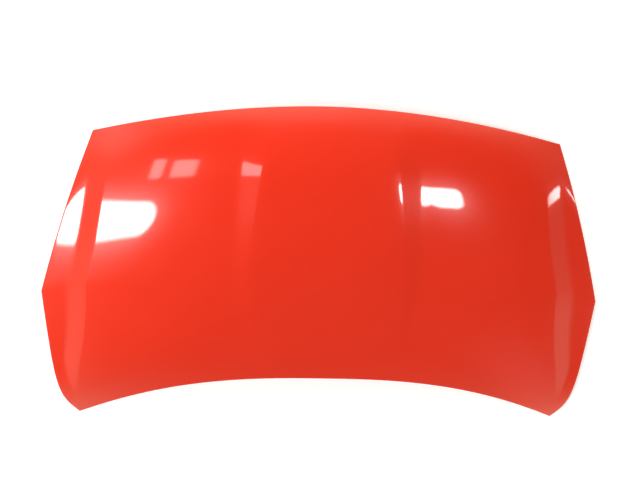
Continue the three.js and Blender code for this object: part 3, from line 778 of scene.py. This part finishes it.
def railMarks(back, m=skinMesh, s=skinShape):
    bulge = bulgeLine(back)
    flankFoot = bulge + flankWidth(back)
    crest = bulge - s["crestWidth"]
    crease = shoulderLine(back)
    foot = footLine(back)
    near, far = m["soft"]
    halfway = between(crest, bulge, 0.5)
    marks = [0, m["centreMark"], crest, halfway, bulge - near, bulge, bulge + near]
    marks += [between(bulge + near, flankFoot, share) for share in m["flankShares"]]
    field = crease - far - marks[-1]
    lines = m["fieldLines"]
    marks += [marks[-1] + field * i / lines for i in range(1, lines + 1)]
    marks += [crease - near, crease, crease + near, crease + far]
    marks += [between(crease + far, foot, share) for share in m["facetShares"]]
    marks += [between(foot, s["halfWidth"] - m["rims"][-1], 0.5)]
    marks += [s["halfWidth"] - rim for rim in reversed(m["rims"])]
    return marks


# Every row takes as many rails between two marks as the middle row has room for
middleMarks = railMarks(0.5)
railCounts = [
    max(1, math.ceil((end - start) / skinMesh["step"] - skinMesh["slack"]))
    for start, end in zip(middleMarks, middleMarks[1:])
]
halfRails = sum(railCounts)
rows = spread(
    [
        *skinMesh["rims"],
        *skinMesh["noseMarks"],
        skinShape["widest"] * length,
        *(length - rim for rim in reversed(skinMesh["rims"])),
    ],
    skinMesh["step"],
)


def railLine(back):
    marks = railMarks(back)
    line = [0]
    for count, start, end in zip(railCounts, marks, marks[1:]):
        line += [between(start, end, i / count) for i in range(1, count + 1)]
    return line


def makeOuterSkin(s=skinShape):
    deselectAll()
    lastRow = len(rows) - 1
    bpy.ops.mesh.primitive_grid_add(
        x_subdivisions=2 * halfRails, y_subdivisions=lastRow, size=2
    )
    piece = bpy.context.object
    piece.name = piece.data.name = "outerSkinPanel"
    lines = [railLine(row / length) for row in rows]
    rim = {}
    for vertex in piece.data.vertices:
        i = round(vertex.co.x * halfRails)
        j = round((1 - vertex.co.y) / 2 * lastRow)
        across = math.copysign(lines[j][abs(i)] / s["halfWidth"], i)
        back = rows[j] / length
        vertex.co = skinPoint(across, back)
        if abs(i) == halfRails or j in (0, lastRow):
            inner = math.copysign(min(abs(across), 1 - s["hem"] / s["halfWidth"]), i)
            hemBack = clip(back, s["hem"] / length, 1 - s["hem"] / length)
            rim[vertex.index] = (
                vertex.co.copy(),
                skinPoint(inner, hemBack),
                skinNormal(across, back),
                skinNormal(inner, hemBack),
            )

    # The edge is rolled over in equal turns, and the last extrusion lays the hem flat inside
    mesh = bmesh.new()
    mesh.from_mesh(piece.data)
    mesh.verts.ensure_lookup_table()
    edges = [edge for edge in mesh.edges if edge.is_boundary]
    source = {mesh.verts[index]: values for index, values in rim.items()}
    radius = mm(s["hemStack"] / 2)
    for angle in (*s["hemTurns"], None):
        made = bmesh.ops.extrude_edge_only(mesh, edges=edges)["geom"]
        edges = [item for item in made if isinstance(item, bmesh.types.BMEdge)]
        ring = [item for item in made if isinstance(item, bmesh.types.BMVert)]
        edges = [edge for edge in edges if edge.verts[0] in ring and edge.verts[1] in ring]
        before = source
        source = {}
        for vertex in ring:
            neighbours = [edge.other_vert(vertex) for edge in vertex.link_edges]
            source[vertex] = next(before[other] for other in neighbours if other in before)
        for vertex in ring:
            edgePoint, hemPoint, edgeNormal, hemNormal = source[vertex]
            if angle is None:
                vertex.co = hemPoint - hemNormal * 2 * radius
                continue
            turn = math.radians(angle)
            outward = (edgePoint - hemPoint).normalized()
            vertex.co = (
                edgePoint
                + outward * radius * math.sin(turn)
                + edgeNormal * radius * (math.cos(turn) - 1)
            )
    mesh.to_mesh(piece.data)
    mesh.free()
    piece.data.update()
    deselectAll()
    piece.select_set(True)
    bpy.context.view_layer.objects.active = piece
    bpy.ops.object.mode_set(mode="EDIT")
    bpy.ops.mesh.select_all(action="SELECT")
    bpy.ops.mesh.remove_doubles(threshold=mm(s["weld"]))
    bpy.ops.mesh.normals_make_consistent(inside=False)
    bpy.ops.object.mode_set(mode="OBJECT")
    middle = min(piece.data.polygons, key=lambda face: face.center.xy.length)
    if middle.normal.z < 0:
        piece.data.flip_normals()
    setMaterial(piece, finishes["outerPaint"])
    piece.data.materials.append(finishes["innerPaint"])
    applyModifier(
        piece, "SOLIDIFY", thickness=mm(s["thickness"]), offset=-1, material_offset=1
    )
    bpy.ops.object.shade_smooth_by_angle(angle=math.radians(s["smooth"]))
    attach(piece, "root")
    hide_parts("outer_skin")
    return piece


outerSkin = makeOuterSkin()
print("outer skin made", len(outerSkin.data.polygons), "faces")

# Fittings: each is worked up from its own solid. "round" smooths a turned or bent piece and
# "swell" gives back what the smoothing takes off, in millimetres. "edge" is the rounding of
# the edges, and "smooth" the sharpest angle that is shaded soft, in degrees.
bolt = {"finish": "zinc", "slot": "zinc_plate", "edge": 0.4, "smooth": 35}
buffer = {"finish": "rubber", "slot": "rubber", "edge": 0.8, "round": 2, "swell": 0.2, "smooth": 60}
fittings = {
    "inner_frame": {"finish": "innerPaint", "slot": "inner_paint", "smooth": 48},
    "hem_sealant": {"finish": "sealer", "slot": "painted_sealer", "smooth": 60},
    "striker_plate": {"finish": "zinc", "slot": "zinc_plate", "edge": 0.6, "smooth": 35},
    "striker_bolt_1": bolt,
    "striker_bolt_2": bolt,
    "striker_loop": {
        "finish": "zinc", "slot": "zinc_plate", "round": 2, "swell": 0.3, "smooth": 60,
    },
    "front_buffer_left": buffer,
    "front_buffer_right": buffer,
    "side_buffer_left": buffer,
    "side_buffer_right": buffer,
    "prop_rod_grommet": {"finish": "nylon", "slot": "nylon", "edge": 0.3, "smooth": 50},
}


# How a solid's facets are joined into quads and which edges are bevelled, in degrees
facets = {"flat": 12, "square": 60, "sharp": 40, "bevelRows": 2}


def makeFitting(node, f):
    words = node.split("_")
    piece = copyOfNode(node, words[0] + "".join(word.capitalize() for word in words[1:]))
    bpy.ops.object.mode_set(mode="EDIT")
    bpy.ops.mesh.tris_convert_to_quads(
        face_threshold=math.radians(facets["flat"]),
        shape_threshold=math.radians(facets["square"]),
    )
    if "swell" in f:
        bpy.ops.transform.shrink_fatten(value=mm(f["swell"]))
    bpy.ops.object.mode_set(mode="OBJECT")
    if "edge" in f:
        applyModifier(
            piece,
            "BEVEL",
            width=mm(f["edge"]),
            segments=facets["bevelRows"],
            limit_method="ANGLE",
            angle_limit=math.radians(facets["sharp"]),
        )
    if "round" in f:
        applyModifier(piece, "SUBSURF", levels=f["round"], render_levels=f["round"])
    bpy.ops.object.shade_smooth_by_angle(angle=math.radians(f["smooth"]))
    setMaterial(piece, finishes[f["finish"]])
    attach(piece, "root")
    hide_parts(node)


for node, sizes in fittings.items():
    makeFitting(node, sizes)
print("fittings made")

# The pieces between the two panels keep their own solids
for name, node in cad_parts.items():
    if name.startswith("mastic"):
        setMaterial(node, finishes["mastic"])
    elif "reinforcement" in name:
        setMaterial(node, finishes["primer"])
    elif "_nut_" in name:
        setMaterial(node, finishes["zinc"])
print("inner pieces finished")


# Studio: a white floor under a sky that is warm white near the front and rear horizon and dim
# overhead and beside the bonnet, and softboxes that the paint mirrors
studio = {
    "floorSize": 7,
    "floorShade": "f4f4f4",
    "floorGlow": 0.38,
    "horizon": 1.2,
    "overhead": 0.1,
    "bright": 0.3,
    "dim": 0.76,
    "dimPole": (0.06, -0.12, 1),
    "warm": "fff0d6",
    "beside": 0.15,
    "ahead": 0.6,
}


def addFloor(settings):
    bpy.ops.mesh.primitive_plane_add(size=settings["floorSize"])
    floor = bpy.context.object
    floor.name = "studioFloor"
    material = newMaterial("whiteStudioFloor")
    matt = addNode(
        material,
        "ShaderNodeBsdfDiffuse",
        values={"Color": colour(settings["floorShade"]), "Roughness": 1.0},
    )
    rays = addNode(material, "ShaderNodeLightPath")
    seen = addNode(
        material,
        "ShaderNodeMath",
        {"operation": "MAXIMUM"},
        links={0: rays.outputs["Is Camera Ray"], 1: rays.outputs["Is Glossy Ray"]},
    )
    lift = addNode(
        material,
        "ShaderNodeMath",
        {"operation": "MULTIPLY"},
        values={1: settings["floorGlow"]},
        links={0: seen.outputs["Value"]},
    )
    glow = addNode(material, "ShaderNodeEmission", links={"Strength": lift.outputs["Value"]})
    both = addNode(
        material, "ShaderNodeAddShader", links={0: matt.outputs[0], 1: glow.outputs[0]}
    )
    finishMaterial(material, both)
    setMaterial(floor, material)


def addWorld(settings):
    world = bpy.data.worlds.new("studioWorld")
    bpy.context.scene.world = world
    world.use_nodes = True
    background = world.node_tree.nodes["Background"]
    place = addNode(world, "ShaderNodeTexCoord")
    height = addNode(
        world,
        "ShaderNodeVectorMath",
        {"operation": "DOT_PRODUCT"},
        {1: Vector(settings["dimPole"]).normalized()},
        {0: place.outputs["Generated"]},
    )
    sky = addNode(
        world,
        "ShaderNodeMapRange",
        {"interpolation_type": "SMOOTHSTEP"},
        {
            "From Min": settings["bright"],
            "From Max": settings["dim"],
            "To Min": settings["horizon"],
            "To Max": settings["overhead"],
        },
        {"Value": height.outputs["Value"]},
    )
    parts = addNode(world, "ShaderNodeSeparateXYZ", links={0: place.outputs["Generated"]})
    along = addNode(
        world, "ShaderNodeMath", {"operation": "ABSOLUTE"}, links={0: parts.outputs["Y"]}
    )
    ends = addNode(
        world,
        "ShaderNodeMapRange",
        values={"From Max": settings["ahead"], "To Min": settings["beside"], "To Max": 1.0},
        links={"Value": along.outputs["Value"]},
    )
    glow = addNode(
        world,
        "ShaderNodeMath",
        {"operation": "MULTIPLY"},
        links={0: sky.outputs["Result"], 1: ends.outputs["Result"]},
    )
    rays = addNode(world, "ShaderNodeLightPath")
    strength = addNode(
        world,
        "ShaderNodeMath",
        {"operation": "MAXIMUM"},
        links={0: glow.outputs["Value"], 1: rays.outputs["Is Camera Ray"]},
    )
    tint = addNode(
        world,
        "ShaderNodeMix",
        {"data_type": "RGBA"},
        {6: colour(settings["warm"]), 7: (1, 1, 1, 1)},
        {0: rays.outputs["Is Camera Ray"]},
    )
    world.node_tree.links.new(strength.outputs["Value"], background.inputs["Strength"])
    world.node_tree.links.new(tint.outputs[2], background.inputs["Color"])


# A softbox that faces the bonnet, with rounded corners and edges that fade out
def addSoftbox(name, box):
    bpy.ops.object.light_add(type="AREA")
    lamp = bpy.context.object
    lamp.name = name
    width, height = box["size"]
    lamp.data.shape = "RECTANGLE"
    lamp.data.size = width
    lamp.data.size_y = height
    lamp.data.energy = box["shine"] * math.pi * width * height
    place = Vector(box["centre"])
    back = place.normalized()
    right = Vector((0, 1, 0)).cross(back).normalized()
    turn = Matrix((right, back.cross(right), back)).transposed()
    turn = turn @ Matrix.Rotation(math.radians(box["roll"]), 3, "Z")
    lamp.matrix_world = Matrix.Translation(place) @ turn.to_4x4()
    lamp.data.use_nodes = True
    emission = lamp.data.node_tree.nodes["Emission"]
    across = addNode(lamp.data, "ShaderNodeNewGeometry")
    centred = addNode(
        lamp.data,
        "ShaderNodeVectorMath",
        {"operation": "SUBTRACT"},
        {1: (0.5, 0.5, 0)},
        {0: across.outputs["Parametric"]},
    )
    scaled = addNode(
        lamp.data,
        "ShaderNodeVectorMath",
        {"operation": "MULTIPLY"},
        {1: (width, height, 0)},
        {0: centred.outputs["Vector"]},
    )
    folded = addNode(
        lamp.data,
        "ShaderNodeVectorMath",
        {"operation": "ABSOLUTE"},
        links={0: scaled.outputs["Vector"]},
    )
    radius = box["corner"]
    inner = (width / 2 - radius, height / 2 - radius, 0)
    beyond = addNode(
        lamp.data,
        "ShaderNodeVectorMath",
        {"operation": "SUBTRACT"},
        {1: inner},
        {0: folded.outputs["Vector"]},
    )
    outside = addNode(
        lamp.data,
        "ShaderNodeVectorMath",
        {"operation": "MAXIMUM"},
        {1: (0, 0, 0)},
        {0: beyond.outputs["Vector"]},
    )
    reach = addNode(
        lamp.data,
        "ShaderNodeVectorMath",
        {"operation": "LENGTH"},
        links={0: outside.outputs["Vector"]},
    )
    fading = addNode(
        lamp.data,
        "ShaderNodeMapRange",
        {"interpolation_type": "SMOOTHSTEP"},
        {"From Min": radius - box["soft"], "From Max": radius, "To Min": 1.0, "To Max": 0.0},
        {"Value": reach.outputs["Value"]},
    )
    lamp.data.node_tree.links.new(fading.outputs["Result"], emission.inputs["Strength"])


# A lamp outside the mirror images, which only brightens the paint
def addFill(name, fill):
    bpy.ops.object.light_add(type="AREA")
    lamp = bpy.context.object
    lamp.name = name
    lamp.data.size = fill["size"]
    lamp.data.energy = fill["shine"] * math.pi * fill["size"] ** 2
    place = Vector(fill["centre"])
    turn = place.to_track_quat("Z", "Y").to_matrix()
    lamp.matrix_world = Matrix.Translation(place) @ turn.to_4x4()
    lamp.visible_glossy = False


addFloor(studio)
addWorld(studio)
# Sizes in metres, turns in degrees. Each stands where the paint mirrors it into the camera.
softboxes = {
    "rightSoftbox": {
        "centre": (1.4, 0.04, 2.52), "size": (0.44, 0.36), "roll": 4,
        "corner": 0.13, "soft": 0.05, "shine": 24,
    },
    "leftSoftbox": {
        "centre": (-2.38, -0.18, 2.2), "size": (1.56, 0.56), "roll": -9,
        "corner": 0.26, "soft": 0.08, "shine": 23,
    },
    "rightLowSoftbox": {
        "centre": (2.78, 0.24, 1.06), "size": (0.22, 0.12), "roll": -48,
        "corner": 0.06, "soft": 0.05, "shine": 16,
    },
    "leftPane": {
        "centre": (-1.86, 0.55, 2.4), "size": (0.28, 0.5), "roll": 0,
        "corner": 0.1, "soft": 0.09, "shine": 5,
    },
    "rightPane": {
        "centre": (-1.5, 0.52, 2.55), "size": (0.42, 0.46), "roll": 0,
        "corner": 0.1, "soft": 0.09, "shine": 5,
    },
}
for name, box in softboxes.items():
    addSoftbox(name, box)
fills = {
    "frontFill": {"centre": (-0.4, 3.2, 1.5), "size": 1.6, "shine": 8},
    "leftFill": {"centre": (-1.5, 0.8, 0.8), "size": 0.5, "shine": 13},
    "rearFill": {"centre": (1.6, -1.7, 1.4), "size": 0.8, "shine": 10},
}
for name, fill in fills.items():
    addFill(name, fill)
bpy.context.scene.view_settings.view_transform = "Standard"
print("studio lit")
